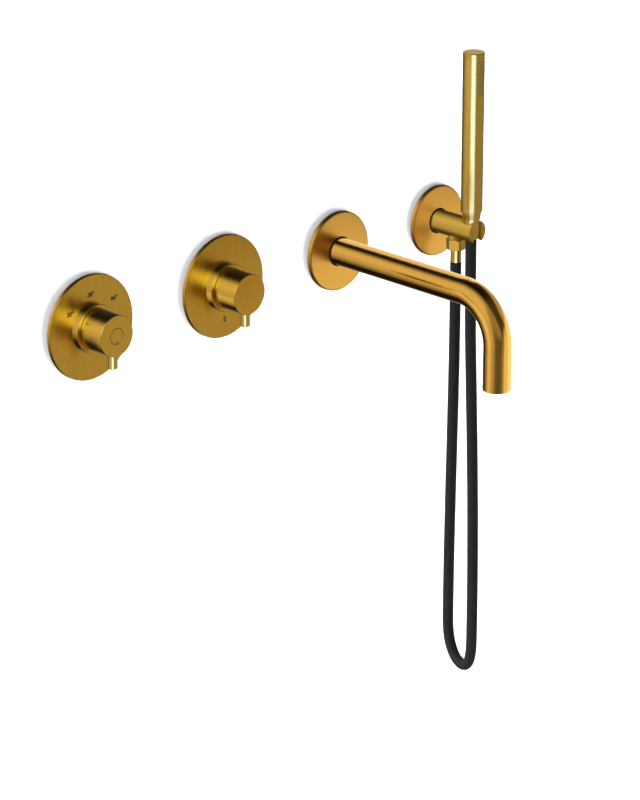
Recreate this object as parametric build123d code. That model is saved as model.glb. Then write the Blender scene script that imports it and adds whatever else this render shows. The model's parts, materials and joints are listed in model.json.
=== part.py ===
from build123d import *
import math
import os

# Wall mounted bath faucet in four stations: thermostat, diverter, spout, and a shower outlet whose
# arm holds a hand shower. Millimetres. X runs along the wall, Y runs into the wall, Z is up.
# The origin is on the finished wall, at the centre of the spout plate's back face.

# Stations along the wall
THERMOSTAT_X = -355.0
DIVERTER_X = -170.0
SPOUT_X = 0.0
SHOWER_X = 155.0

# Wall plates (cover plates)
CONTROL_PLATE_R = 56.0
CONTROL_PLATE_T = 4.0
SPOUT_PLATE_R = 44.0
SPOUT_PLATE_T = 5.0
SHOWER_PLATE_R = 40.0
SHOWER_PLATE_T = 4.5
PLATE_EDGE = 0.8

# Control handles
SKIRT_R = 26.0
SKIRT_FRONT = -12.0
KNOB_R = 22.0
KNOB_BACK = -12.4
KNOB_FRONT = -42.4
KNOB_WALL = 2.5
KNOB_WEB = 16.0
HUB_R = 10.0
HUB_BACK = -14.4
LEVER_R = 4.9
LEVER_SET_BACK = 7.0
LEVER_TIP = -36.0
LEVER_ROOT = -13.0
BUTTON_R = 8.5
BUTTON_GAP = 0.35
BUTTON_HEAD = 3.5
STEM_R = 2.5
HANDLE_SCREW_Y = -17.0

# Cartridges and spindles
FIT = 0.05
SPINDLE_R = 5.0
SPINDLE_FRONT = -18.5
STUB_R = 4.0
STUB_BACK = 20.0
ADAPTER_R = 7.0
CARTRIDGE_R = 17.0
CARTRIDGE_BACK = 50.0
CAVITY_R = 13.0
NOSE_R = 9.0
NOSE_FRONT = -8.5

# Concealed bodies, pipes and rail
BARREL_R = 24.0
BARREL_FRONT = 14.0
BARREL_BACK = 58.0
NECK_R = 19.0
NECK_FRONT = -2.0
PIPE_Y = 38.0
SHOWER_PIPE_Z = -42.0
PIPE_R = 7.5
PIPE_BORE = 6.5
SPIGOT_R = 10.0
SPIGOT_END = 46.0
SPIGOT_START = 32.0
PIPE_INSERT = 10.0
PORT_R = 14.0
INLET_END = 50.0
THREAD_R = 9.3
THREAD_DEPTH = 16.0
UNION_HEX_R = 14.4
RAIL_X = (-400.0, 190.0)
RAIL_HALF_HEIGHT = 30.0
RAIL_T = 3.0
RAIL_FIX_X = (-262.5, 77.5)
RAIL_FIX_Z = 24.0
RAIL_FIX_R = 3.25
RAIL_SCREW_R = 2.5
SCREW_PAIRS = [(THERMOSTAT_X, 20.0), (DIVERTER_X, 20.0), (SPOUT_X, 9.0), (SHOWER_X, 9.0)]

# Spout
TUBE_R = 15.0
TUBE_BORE = 13.5
SPOUT_REACH = 238.0
SPOUT_DROP = 98.0
SPOUT_BEND_R = 50.0
SOCKET_BACK = -3.0
SOCKET_FRONT = -25.0
SPOUT_SCREW_Y = -14.0
AERATOR_RECESS = 1.5

# Shower outlet and holder arm
ARM_R = 13.0
ARM_END = -64.0
OUTLET_Y = -31.6
CRADLE_Y = -54.2
FORK_SLOT = 13.6
BOSS_R = 9.0
HOSE_NUT_R = 11.1
HOSE_NUT_Z = (-26.5, -14.2)
FERRULE_R = 6.0
FERRULE_END = -41.5

# Hand shower
STICK_R = 12.0
STICK_BORE = 10.5
STICK_BOTTOM = 22.4
STICK_TOP = 202.5
CAP_T = 4.5
CONE_TOP = 22.0
CONE_BOTTOM = -8.7
SWIVEL_R = 6.5
CONE_CLEARANCE = 0.35
NOZZLE_R = 0.75
NOZZLE_ROWS = 13
NOZZLE_Z = (156.5, 193.0)
NOZZLE_STEP_DEG = 12.0
NOZZLE_PROUD = 0.25

# Shower hose: the corners of its route, from the ferrule down, round the loop and up to the cone
HOSE_R = 6.25
HOSE_ROUTE = [
    (155.0, -31.6, -41.5),
    (155.0, -31.6, -92.0),
    (156.2, -29.8, -185.0),
    (159.4, -24.8, -290.0),
    (164.6, -18.4, -385.0),
    (168.0, -14.8, -455.0),
    (168.4, -14.4, -502.0),
    (162.0, -31.0, -524.0),
    (151.0, -58.0, -525.5),
    (144.4, -74.0, -506.0),
    (143.6, -75.2, -461.0),
    (145.8, -72.8, -383.0),
    (149.3, -67.4, -287.0),
    (152.9, -60.0, -185.0),
    (155.0, -54.2, -92.0),
    (155.0, -54.2, -8.7),
]
ARC_SHARE = 0.45

TOL = 0.01


# ---------------------------------------------------------------- shape helpers

def rod(radius, start, end):
    """Straight round bar between two points."""
    along = Vector(*end) - Vector(*start)
    base = Plane(origin=start, z_dir=along)
    return base * Cylinder(radius, along.length, align=(Align.CENTER, Align.CENTER, Align.MIN))


def pipe(outer, inner, start, end):
    """Straight hollow bar between two points."""
    return rod(outer, start, end) - rod(inner, start, end)


def rod_y(radius, x, z, y0, y1):
    """Round bar square to the wall."""
    return rod(radius, (x, y0, z), (x, y1, z))


def turned_y(profile, x, z=0.0):
    """Solid of revolution square to the wall; profile holds (radius, y) pairs."""
    face = make_face(Polyline(*profile, close=True))
    return Pos(x, 0, z) * revolve(face, Axis.Y)


def turned_z(profile, x, y):
    """Upright solid of revolution; profile holds (radius, z) pairs."""
    face = make_face(Plane.XZ * Polyline(*profile, close=True))
    return Pos(x, y, 0) * revolve(face, Axis.Z)


def soften(part, radius, place, along, amount):
    """Rounds the circular edges of one radius that lie at one place along Y or Z."""
    rims = [
        e for e in part.edges().filter_by(GeomType.CIRCLE)
        if abs(e.radius - radius) < TOL and abs(getattr(e.position_at(0), along) - place) < TOL
    ]
    return fillet(rims, amount)


def hex_bar(corner_r, start, end, turn=0.0):
    """Hexagonal bar between two points."""
    along = Vector(*end) - Vector(*start)
    base = Plane(origin=start, z_dir=along)
    return base * extrude(Rot(0, 0, turn) * RegularPolygon(corner_r, 6), along.length)


def coil_spring(mean_r, wire_r, x, y0, y1, turns):
    """Compression spring whose axis is square to the wall."""
    helix = Helix(pitch=(y1 - y0) / turns, height=y1 - y0, radius=mean_r)
    section = Plane(origin=helix @ 0, z_dir=helix % 0) * Circle(wire_r)
    coil = sweep(section, path=helix, is_frenet=True)
    return Pos(x, y0, 0) * (Rot(-90, 0, 0) * coil)


# ---------------------------------------------------------------- wall plates

def control_plate(x):
    """Round cover plate of a control, with a groove for its gasket in the back."""
    plate = turned_y([
        (21.2, -CONTROL_PLATE_T), (CONTROL_PLATE_R, -CONTROL_PLATE_T), (CONTROL_PLATE_R, 0),
        (45.5, 0), (45.5, -1.5), (34.0, -1.5), (34.0, 0), (21.2, 0),
    ], x)
    return soften(plate, CONTROL_PLATE_R, -CONTROL_PLATE_T, "Y", PLATE_EDGE)


def control_gasket(x):
    return turned_y([(34.0, -1.5), (45.5, -1.5), (45.5, 0), (34.0, 0)], x)


def small_plate(x, radius, thickness, hole_r, recess_r):
    """Round cover plate that sits on the wall on its outer ring."""
    plate = turned_y([
        (hole_r, -thickness), (radius, -thickness), (radius, 0), (recess_r, 0),
        (recess_r, -2.5), (hole_r, -2.5),
    ], x)
    return soften(plate, radius, -thickness, "Y", 1.5)


def small_gasket(x, inner_r, outer_r):
    """Compressed gasket in the recess of a small plate."""
    return turned_y([(inner_r, -2.5), (outer_r, -2.5), (outer_r, -0.1), (inner_r, -0.1)], x)


# ---------------------------------------------------------------- controls

def skirt(x):
    """Ring in front of the plate; its sleeve slides over the neck of the valve body."""
    ring = turned_y([
        (NECK_R, SKIRT_FRONT), (SKIRT_R, SKIRT_FRONT), (SKIRT_R, -CONTROL_PLATE_T),
        (21.0, -CONTROL_PLATE_T), (21.0, 10.0), (NECK_R, 10.0),
    ], x)
    return soften(ring, SKIRT_R, SKIRT_FRONT, "Y", 0.6)


def knob(x):
    """Hollow handle: thick front web, thin wall, and a hub that grips the spindle adapter."""
    web_back = KNOB_FRONT + KNOB_WEB
    shell = turned_y([
        (0, KNOB_FRONT), (KNOB_R, KNOB_FRONT), (KNOB_R, KNOB_BACK), (KNOB_R - KNOB_WALL, KNOB_BACK),
        (KNOB_R - KNOB_WALL, web_back), (HUB_R, web_back), (HUB_R, HUB_BACK), (ADAPTER_R, HUB_BACK),
        (ADAPTER_R, web_back), (0, web_back),
    ], x)
    shell = soften(shell, KNOB_R, KNOB_FRONT, "Y", 0.6)
    lever_y = KNOB_FRONT + LEVER_SET_BACK
    shell -= rod(LEVER_R, (x, lever_y, LEVER_ROOT), (x, lever_y, -KNOB_R - 1))
    shell -= rod(2.0, (x, HANDLE_SCREW_Y, 0), (x, HANDLE_SCREW_Y, -HUB_R - 3))
    shell -= rod(2.4, (x, HANDLE_SCREW_Y, -KNOB_R + KNOB_WALL + 2), (x, HANDLE_SCREW_Y, -KNOB_R - 1))
    return shell


def button_seat(x):
    """What the safety button needs cut out of the handle: recess, spring pocket and stem hole."""
    seat = rod_y(BUTTON_R + BUTTON_GAP, x, 0, KNOB_FRONT - 1, KNOB_FRONT + 7.0)
    seat += rod_y(5.6, x, 0, KNOB_FRONT + 6.5, KNOB_FRONT + 12.5)
    seat += rod_y(STEM_R + FIT, x, 0, KNOB_FRONT + 12.0, KNOB_FRONT + KNOB_WEB + 1)
    return seat


def safety_button(x):
    """Push button with its stem; a dimple near the rim marks the bottom."""
    button = turned_y([
        (0, KNOB_FRONT), (BUTTON_R, KNOB_FRONT), (BUTTON_R, KNOB_FRONT + BUTTON_HEAD),
        (STEM_R, KNOB_FRONT + BUTTON_HEAD), (STEM_R, -23.5), (0, -23.5),
    ], x)
    button = soften(button, BUTTON_R, KNOB_FRONT, "Y", 0.3)
    return button - rod_y(0.8, x, -BUTTON_R + 1.6, KNOB_FRONT - 1, KNOB_FRONT + 0.8)


def lever(x):
    """Short round pin under the handle."""
    lever_y = KNOB_FRONT + LEVER_SET_BACK
    pin = rod(LEVER_R, (x, lever_y, LEVER_ROOT), (x, lever_y, LEVER_TIP))
    return soften(pin, LEVER_R, LEVER_TIP, "Z", 0.6)


def handle_screw(x):
    """Grub screw that holds the handle on the adapter."""
    return rod(2.0, (x, HANDLE_SCREW_Y, -ADAPTER_R), (x, HANDLE_SCREW_Y, -12.0))


def spindle_adapter(x):
    return turned_y([(SPINDLE_R, -19.0), (ADAPTER_R, -19.0), (ADAPTER_R, -13.4), (SPINDLE_R, -13.4)], x)


def spindle(x):
    """Turning spindle, kept in the cartridge by a flange."""
    return turned_y([
        (0, SPINDLE_FRONT), (SPINDLE_R, SPINDLE_FRONT), (SPINDLE_R, 7.3), (9.0, 7.3), (9.0, 10.0),
        (STUB_R, 10.0), (STUB_R, STUB_BACK), (0, STUB_BACK),
    ], x)


# ---------------------------------------------------------------- cartridges

def cartridge_shell(x, cavity_back):
    """Cartridge housing with a round cavity behind the spindle hole."""
    bore = SPINDLE_R + FIT
    shell = turned_y([
        (bore, NOSE_FRONT), (NOSE_R, NOSE_FRONT), (NOSE_R, NECK_FRONT), (CARTRIDGE_R, NECK_FRONT),
        (CARTRIDGE_R, CARTRIDGE_BACK), (0, CARTRIDGE_BACK), (0, cavity_back), (CAVITY_R, cavity_back),
        (CAVITY_R, 7.0), (bore, 7.0),
    ], x)
    return shell


def ring_of_ports(x, y, count, radius):
    """Radial holes round a cartridge."""
    ports = Part()
    for i in range(count):
        angle = math.radians(360.0 / count * (i + 0.5))
        tip = (x + 20 * math.cos(angle), y, 20 * math.sin(angle))
        root = (x + 10 * math.cos(angle), y, 10 * math.sin(angle))
        ports += rod(radius, root, tip)
    return ports


def thermostat_cartridge(x):
    shell = cartridge_shell(x, 46.0)
    shell -= ring_of_ports(x, 28.0, 6, 3.0)
    shell -= ring_of_ports(x, 38.0, 6, 3.0)
    return shell - rod_y(5.0, x, 0, 45.0, 51.0)


def adjusting_nut(x):
    """Cup that the spindle's thread moves in and out."""
    return turned_y([
        (STUB_R + FIT, 11.5), (12.5, 11.5), (12.5, 24.0), (0, 24.0), (0, 21.5), (STUB_R + FIT, 21.5),
    ], x)


def thermo_element(x):
    return turned_y([(0, 24.0), (6.0, 24.0), (6.0, 40.0), (3.0, 40.0), (3.0, 44.0), (0, 44.0)], x)


def stop_ring(x):
    """Temperature stop on the cartridge nose, with its stop lug."""
    ring = turned_y([(NOSE_R, -8.0), (15.0, -8.0), (15.0, -3.5), (NOSE_R, -3.5)], x)
    return ring + Pos(x, -5.75, 16.0) * Box(3.0, 4.5, 3.0)


def diverter_cartridge(x):
    """Housing with two ways out behind its ceramic discs: one to the spout, one to the shower."""
    shell = cartridge_shell(x, 25.3)
    shell -= ring_of_ports(x, 13.0, 6, 2.5)
    shell -= rod_y(3.5, x + 6.0, 0, 25.0, PIPE_Y + 3.5)
    shell -= rod(3.5, (x + 6.0, PIPE_Y, 0), (x + 20.0, PIPE_Y, 0))
    shell -= rod_y(3.5, x - 6.0, 0, 25.0, PIPE_Y + 3.5)
    shell -= rod(3.5, (x - 6.0, PIPE_Y, 0), (x - 6.0, PIPE_Y, -20.0))
    return shell


def moving_disc(x):
    disc = turned_y([(STUB_R, 16.0), (12.5, 16.0), (12.5, 20.0), (STUB_R, 20.0)], x)
    return disc - Pos(x + 8.0, 18.0, 0) * Box(6.0, 5.0, 5.0)


def fixed_disc(x):
    disc = rod_y(CAVITY_R, x, 0, 20.3, 25.3)
    return disc - rod_y(3.5, x + 6.0, 0, 20.0, 26.0) - rod_y(3.5, x - 6.0, 0, 20.0, 26.0)


# ---------------------------------------------------------------- in the wall

def barrel(x):
    """Valve body's round barrel with its front neck, bored for the cartridge."""
    return turned_y([
        (CARTRIDGE_R, NECK_FRONT), (NECK_R, NECK_FRONT), (NECK_R, BARREL_FRONT),
        (BARREL_R, BARREL_FRONT), (BARREL_R, BARREL_BACK), (0, BARREL_BACK), (0, 52.0),
        (CARTRIDGE_R, 52.0),
    ], x)


def spigot(x, z, side):
    """Solid pipe end for a compression nut, pointing along X to one side (+1 or -1)."""
    neck = rod(12.0, (x, PIPE_Y, z), (x + side * SPIGOT_START, PIPE_Y, z))
    return neck + rod(SPIGOT_R, (x, PIPE_Y, z), (x + side * SPIGOT_END, PIPE_Y, z))


def spigot_bore(x, z, side):
    """Waterway of a pipe end, with the seat that the pipe slides into."""
    bore = rod(PIPE_BORE, (x, PIPE_Y, z), (x + side * (SPIGOT_END + 1), PIPE_Y, z))
    seat_from = (x + side * (SPIGOT_END - PIPE_INSERT), PIPE_Y, z)
    return bore + rod(PIPE_R, seat_from, (x + side * (SPIGOT_END + 1), PIPE_Y, z))


def screw_holes(x, offset):
    """Pair of tapped holes in a body's back, for the rail screws."""
    return rod_y(RAIL_SCREW_R, x - offset, 0, 52.0, BARREL_BACK + 1) + rod_y(
        RAIL_SCREW_R, x + offset, 0, 52.0, BARREL_BACK + 1)


def thermostat_valve_body(x):
    """Mixing valve body: hot inlet to the left, cold inlet below, mixed outlet to the right."""
    centre, hot, cold = (x, PIPE_Y, 0), (x - INLET_END, PIPE_Y, 0), (x, PIPE_Y, -INLET_END)
    body = barrel(x) + rod(PORT_R, (x - 20, PIPE_Y, 0), hot) + rod(PORT_R, (x, PIPE_Y, -20), cold)
    body += spigot(x, 0, 1) - rod_y(20.0, x, 0, 0, 60)
    body -= rod_y(CARTRIDGE_R, x, 0, NECK_FRONT - 1, 52.0)
    body -= rod(PIPE_BORE, centre, (x - INLET_END, PIPE_Y, 0)) + rod(PIPE_BORE, centre, cold)
    body -= rod(THREAD_R, (x - INLET_END + THREAD_DEPTH, PIPE_Y, 0), (x - INLET_END - 1, PIPE_Y, 0))
    body -= rod(THREAD_R, (x, PIPE_Y, -INLET_END + THREAD_DEPTH), (x, PIPE_Y, -INLET_END - 1))
    body -= spigot_bore(x, 0, 1)
    return body - screw_holes(x, 20.0)


def check_valves(x):
    """One-way valves pushed into the two inlets."""
    hot = pipe(PIPE_BORE, 3.5, (x - 32.0, PIPE_Y, 0), (x - 22.0, PIPE_Y, 0))
    cold = pipe(PIPE_BORE, 3.5, (x, PIPE_Y, -32.0), (x, PIPE_Y, -22.0))
    return Part() + [hot, cold]


def diverter_valve_body(x):
    """Diverter body: inlet to the left, spout outlet to the right, shower outlet lower right."""
    body = barrel(x) + rod(PORT_R, (x, PIPE_Y, -20.0), (x, PIPE_Y, SHOWER_PIPE_Z - PORT_R))
    body += (spigot(x, 0, -1) + spigot(x, 0, 1)) - rod_y(20.0, x, 0, 0, 60)
    body += spigot(x, SHOWER_PIPE_Z, 1)
    body -= rod_y(CARTRIDGE_R, x, 0, NECK_FRONT - 1, 52.0)
    body -= rod(PIPE_BORE, (x, PIPE_Y, 0), (x, PIPE_Y, SHOWER_PIPE_Z))
    body -= spigot_bore(x, 0, -1) + spigot_bore(x, 0, 1) + spigot_bore(x, SHOWER_PIPE_Z, 1)
    return body - screw_holes(x, 20.0)


def wall_elbow(x, inlet_z):
    """Drop elbow: pipe end on the left at inlet_z, threaded outlet facing the room at z = 0."""
    body = rod(PORT_R, (x - SPIGOT_START, PIPE_Y, inlet_z), (x + PORT_R, PIPE_Y, inlet_z))
    body += rod(SPIGOT_R, (x - SPIGOT_END, PIPE_Y, inlet_z), (x, PIPE_Y, inlet_z))
    if inlet_z < 0:
        body += rod(PORT_R, (x, PIPE_Y, inlet_z), (x, PIPE_Y, 0))
    body += rod_y(15.0, x, 0, 10.0, PIPE_Y + 8)
    body += Pos(x, (PIPE_Y + BARREL_BACK) / 2, 0) * Box(28.0, BARREL_BACK - PIPE_Y, 24.0)
    body -= rod(PIPE_BORE, (x, PIPE_Y, inlet_z), (x, PIPE_Y, 0.0)) if inlet_z < 0 else Part()
    body -= rod_y(PIPE_BORE, x, 0, 9.0, PIPE_Y)
    body -= rod_y(THREAD_R, x, 0, 9.0, 10.0 + THREAD_DEPTH)
    body -= spigot_bore(x, inlet_z, -1)
    return body - screw_holes(x, 9.0)


def feed_pipe(x0, x1, z):
    """Copper pipe between two pipe ends."""
    reach = SPIGOT_END - PIPE_INSERT
    return pipe(PIPE_R, PIPE_BORE, (x0 + reach, PIPE_Y, z), (x1 - reach, PIPE_Y, z))


def union_nut(x, z, side):
    """Compression nut over the pipe end that points to one side (+1 or -1)."""
    end = x + side * SPIGOT_END
    nut = hex_bar(UNION_HEX_R, (end - side * 12.0, PIPE_Y, z), (end + side * 5.0, PIPE_Y, z))
    nut -= rod(SPIGOT_R, (end - side * 13.0, PIPE_Y, z), (end, PIPE_Y, z))
    return nut - rod(PIPE_R, (end - side, PIPE_Y, z), (end + side * 6.0, PIPE_Y, z))


def mounting_rail():
    """Steel bar that ties the four bodies together and is screwed to the wall."""
    x0, x1 = RAIL_X
    y = BARREL_BACK + RAIL_T / 2
    rail = Pos((x0 + x1) / 2, y, 0) * Box(x1 - x0, RAIL_T, 2 * RAIL_HALF_HEIGHT)
    rail = fillet(rail.edges().filter_by(Axis.Y), 6.0)
    for x, offset in SCREW_PAIRS:
        rail -= rod_y(RAIL_SCREW_R, x - offset, 0, 50, 70)
        rail -= rod_y(RAIL_SCREW_R, x + offset, 0, 50, 70)
    for x in RAIL_FIX_X:
        for z in (-RAIL_FIX_Z, RAIL_FIX_Z):
            rail -= rod_y(RAIL_FIX_R, x, z, 50, 70)
    return rail


def rail_screws():
    screws = []
    for x, offset in SCREW_PAIRS:
        for screw_x in (x - offset, x + offset):
            shank = rod_y(RAIL_SCREW_R, screw_x, 0, 52.5, BARREL_BACK + RAIL_T)
            head = rod_y(4.5, screw_x, 0, BARREL_BACK + RAIL_T, BARREL_BACK + RAIL_T + 3.0)
            socket = hex_bar(2.3, (screw_x, BARREL_BACK + RAIL_T + 1.2, 0), (screw_x, 70, 0))
            screws.append(shank + head - socket)
    return Part() + screws



# ---------------------------------------------------------------- spout

def spout_tube():
    """Bent tube: straight out from the wall, one bend, and down to the outlet."""
    corners = [(0, -1.0, 0), (0, -SPOUT_REACH, 0), (0, -SPOUT_REACH, -SPOUT_DROP)]
    path = FilletPolyline(*corners, radius=SPOUT_BEND_R)
    start = Plane(origin=corners[0], z_dir=(0, -1, 0))
    tube = sweep(start * (Circle(TUBE_R) - Circle(TUBE_BORE)), path=path)
    return tube - rod(2.5, (0, SPOUT_SCREW_Y, 0), (0, SPOUT_SCREW_Y, -TUBE_R - 1))


def spout_socket():
    """Threaded ring inside the tube's wall end, screwed on the nipple."""
    ring = turned_y([
        (THREAD_R, SOCKET_FRONT), (TUBE_BORE, SOCKET_FRONT), (TUBE_BORE, SOCKET_BACK),
        (THREAD_R, SOCKET_BACK),
    ], SPOUT_X)
    return ring - rod(2.5, (0, SPOUT_SCREW_Y, 0), (0, SPOUT_SCREW_Y, -TUBE_R))


def nipple(x, front):
    """Threaded nipple from the wall elbow into the trim."""
    return pipe(THREAD_R, PIPE_BORE, (x, front, 0), (x, 10.0 + THREAD_DEPTH - 1.0, 0))


def aerator_housing():
    """Ring inside the spout's mouth."""
    low, high = -SPOUT_DROP + AERATOR_RECESS, -SPOUT_DROP + 13.0
    ring = turned_z([(11.2, low), (TUBE_BORE, low), (TUBE_BORE, high), (11.2, high)],
                    0, -SPOUT_REACH)
    return soften(ring, 11.2, low, "Z", 0.8)


def aerator_screen():
    """Perforated insert in the aerator ring."""
    low = -SPOUT_DROP + AERATOR_RECESS + 2.0
    screen = rod(11.2, (0, -SPOUT_REACH, low), (0, -SPOUT_REACH, low + 3.0))
    holes = [
        rod(0.9, (i * 2.6 + (j % 2) * 1.3, -SPOUT_REACH + j * 2.25, low - 1),
            (i * 2.6 + (j % 2) * 1.3, -SPOUT_REACH + j * 2.25, low + 4))
        for i in range(-4, 5) for j in range(-4, 5)
        if math.hypot(i * 2.6 + (j % 2) * 1.3, j * 2.25) < 9.6
    ]
    return screen - holes


# ---------------------------------------------------------------- shower outlet and holder

def cradle_profile(clearance):
    """Half outline of the cone that sits in the arm, as (radius, z), grown by a clearance."""
    return [
        (0, CONE_BOTTOM - 6.0), (8.0 + clearance, CONE_BOTTOM - 6.0),
        (8.35 + clearance, -7.5), (9.3 + clearance, 14.0), (0, 14.0),
    ]


def holder_arm():
    """Arm on the shower plate: bored for water to the outlet boss, forked for the hand shower."""
    arm = rod_y(ARM_R, SHOWER_X, 0, -0.5, ARM_END)
    arm = soften(arm, ARM_R, ARM_END, "Y", 0.5)
    arm += rod(BOSS_R, (SHOWER_X, OUTLET_Y, 0), (SHOWER_X, OUTLET_Y, -21.9))
    arm -= turned_z(cradle_profile(CONE_CLEARANCE), SHOWER_X, CRADLE_Y)
    slot_length = CRADLE_Y - ARM_END + 1
    arm -= Pos(SHOWER_X, CRADLE_Y - slot_length / 2, 0) * Box(FORK_SLOT, slot_length, 3 * ARM_R)
    arm -= rod_y(THREAD_R, SHOWER_X, 0, -18.0, 0)
    arm -= rod_y(5.0, SHOWER_X, 0, OUTLET_Y - 5.0, 0)
    arm -= rod(5.0, (SHOWER_X, OUTLET_Y, 0), (SHOWER_X, OUTLET_Y, -25.0))
    return arm - rod(2.5, (SHOWER_X, -10.0, 0), (SHOWER_X, -10.0, -ARM_R - 1))


def trim_grub_screws():
    """The two grub screws that lock the spout and the arm on their nipples."""
    spout_screw = rod(2.5, (SPOUT_X, SPOUT_SCREW_Y, -THREAD_R), (SPOUT_X, SPOUT_SCREW_Y, -TUBE_R + 0.5))
    arm_screw = rod(2.5, (SHOWER_X, -10.0, -THREAD_R), (SHOWER_X, -10.0, -ARM_R + 0.3))
    return Part() + [spout_screw, arm_screw]


def hose_nut():
    """Hexagonal nut that holds the hose end on the arm's boss, corners turned down at both ends."""
    low, high = HOSE_NUT_Z
    nut = hex_bar(HOSE_NUT_R, (SHOWER_X, OUTLET_Y, low), (SHOWER_X, OUTLET_Y, high))
    nut = nut & turned_z([
        (0, low), (9.4, low), (HOSE_NUT_R + 0.2, low + 1.1), (HOSE_NUT_R + 0.2, high - 1.1),
        (9.4, high), (0, high),
    ], SHOWER_X, OUTLET_Y)
    nut -= rod(BOSS_R, (SHOWER_X, OUTLET_Y, -24.0), (SHOWER_X, OUTLET_Y, 0))
    return nut - rod(FERRULE_R, (SHOWER_X, OUTLET_Y, low - 1), (SHOWER_X, OUTLET_Y, high))


def hose_ferrule():
    """Crimped sleeve on the hose's fixed end, with the flange that the nut pulls up."""
    return turned_z([
        (4.0, FERRULE_END), (FERRULE_R, FERRULE_END), (FERRULE_R, -24.0), (8.8, -24.0), (8.8, -22.9),
        (4.0, -22.9),
    ], SHOWER_X, OUTLET_Y)


def wall_hose_washer():
    return turned_z([(5.0, -22.9), (8.8, -22.9), (8.8, -21.9), (5.0, -21.9)], SHOWER_X, OUTLET_Y)


def shower_hose():
    """Hose along its route: straight runs joined by tangent arcs."""
    points = [Vector(*p) for p in HOSE_ROUTE]
    runs = [(b - a).length for a, b in zip(points, points[1:])]
    radii, length = [], sum(runs)
    for i in range(1, len(points) - 1):
        turn = math.radians((points[i] - points[i - 1]).get_angle(points[i + 1] - points[i]))
        reach = ARC_SHARE * min(runs[i - 1], runs[i])
        radii.append(reach / math.tan(turn / 2))
        length -= 2 * reach - radii[-1] * turn
    path = FilletPolyline(*points, radius=radii)
    section = Plane(origin=points[0], z_dir=points[1] - points[0]) * Circle(HOSE_R)
    hose = sweep(section, path=path)
    print("hose runs", [round(r) for r in runs])
    print("hose bend radii", [round(r, 1) for r in radii])
    print("hose length", round(length, 1), "volume", round(hose.volume),
          "section x length", round(math.pi * HOSE_R ** 2 * length))
    return hose


# ---------------------------------------------------------------- hand shower

def hose_cone():
    """Conical hose nut that rests in the fork; the hand shower turns in its bore."""
    bore = SWIVEL_R + FIT
    return turned_z([
        (4.0, CONE_BOTTOM), (7.9, CONE_BOTTOM), (8.35, -7.5), (9.3, 14.0), (10.6, 20.5),
        (10.6, CONE_TOP), (bore, CONE_TOP), (bore, 2.0), (4.0, 2.0),
    ], SHOWER_X, CRADLE_Y)


def hand_shower_washer():
    return turned_z([(4.0, 2.0), (SWIVEL_R, 2.0), (SWIVEL_R, 4.0), (4.0, 4.0)], SHOWER_X, CRADLE_Y)


def hand_shower_inlet():
    """Plug in the foot of the hand shower, with the tail that turns in the cone."""
    return turned_z([
        (4.0, 4.5), (SWIVEL_R, 4.5), (SWIVEL_R, STICK_BOTTOM), (STICK_BORE, STICK_BOTTOM),
        (STICK_BORE, 34.0), (4.0, 34.0),
    ], SHOWER_X, CRADLE_Y)


def nozzle_places():
    """(angle from the front, height) of each nozzle: rows of four and rows of three between."""
    pitch = (NOZZLE_Z[1] - NOZZLE_Z[0]) / (NOZZLE_ROWS - 1)
    for row in range(NOZZLE_ROWS):
        count = 4 - row % 2
        for i in range(count):
            yield (i - (count - 1) / 2) * NOZZLE_STEP_DEG, NOZZLE_Z[0] + row * pitch


def nozzle_rods(inner, outer):
    rods = []
    for angle, z in nozzle_places():
        turn = math.radians(270.0 + angle)
        out = (math.cos(turn), math.sin(turn))
        rods.append(rod(
            NOZZLE_R,
            (SHOWER_X + inner * out[0], CRADLE_Y + inner * out[1], z),
            (SHOWER_X + outer * out[0], CRADLE_Y + outer * out[1], z)))
    return rods


def hand_shower_body():
    """Straight tube with the spray holes near its top, on the side away from the wall."""
    top = STICK_TOP - CAP_T
    body = pipe(STICK_R, STICK_BORE, (SHOWER_X, CRADLE_Y, STICK_BOTTOM), (SHOWER_X, CRADLE_Y, top))
    body = soften(body, STICK_R, STICK_BOTTOM, "Z", 0.5)
    return body - nozzle_rods(STICK_BORE - 1, STICK_R + 1)


def hand_shower_cap():
    top = STICK_TOP - CAP_T
    cap = turned_z([
        (0, top - 2.0), (STICK_BORE, top - 2.0), (STICK_BORE, top), (STICK_R, top),
        (STICK_R, STICK_TOP), (0, STICK_TOP),
    ], SHOWER_X, CRADLE_Y)
    return soften(cap, STICK_R, STICK_TOP, "Z", 0.8)


def nozzle_insert():
    """Rubber insert behind the spray holes, with a nozzle through each."""
    low, high = NOZZLE_Z[0] - 5.0, NOZZLE_Z[1] + 3.0
    sleeve = pipe(STICK_BORE, 9.0, (SHOWER_X, CRADLE_Y, low), (SHOWER_X, CRADLE_Y, high))
    front = Pos(SHOWER_X, CRADLE_Y - 12.0, (low + high) / 2) * Box(14.0, 12.0, 80.0)
    return (sleeve & front) + nozzle_rods(9.5, STICK_R + NOZZLE_PROUD)


def water_tube():
    """Inner tube that keeps the hot water off the outer wall."""
    return pipe(6.0, 5.0, (SHOWER_X, CRADLE_Y, 34.0), (SHOWER_X, CRADLE_Y, 150.0))


# ---------------------------------------------------------------- the whole set

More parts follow.
